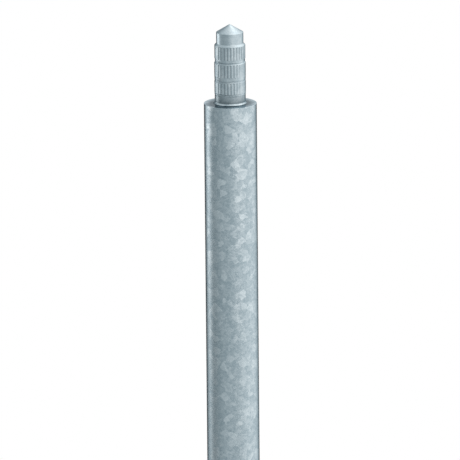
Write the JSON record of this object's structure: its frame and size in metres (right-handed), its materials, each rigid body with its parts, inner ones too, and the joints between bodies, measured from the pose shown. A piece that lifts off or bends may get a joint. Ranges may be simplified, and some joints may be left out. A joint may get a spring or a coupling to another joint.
{
  "type": "earth rod",
  "caption": "Round galvanised steel earth rod with a knurled coupling pin on its head and a blind coupling socket in its foot.",
  "frame": {"origin": "centre of the foot face, on the rod's axis", "axes": "+Z along the rod's axis, from the foot with its socket to the head with its coupling pin; a flute lies on -Y"},
  "size_m": [0.02, 0.02, 1.5305],
  "materials": {
    "galvanised_steel": "hot-dip galvanised, matt bluish grey with a fine spangle"
  },
  "bodies": {
    "root": {"earth_rod": "galvanised_steel"}
  },
  "joints": []
}
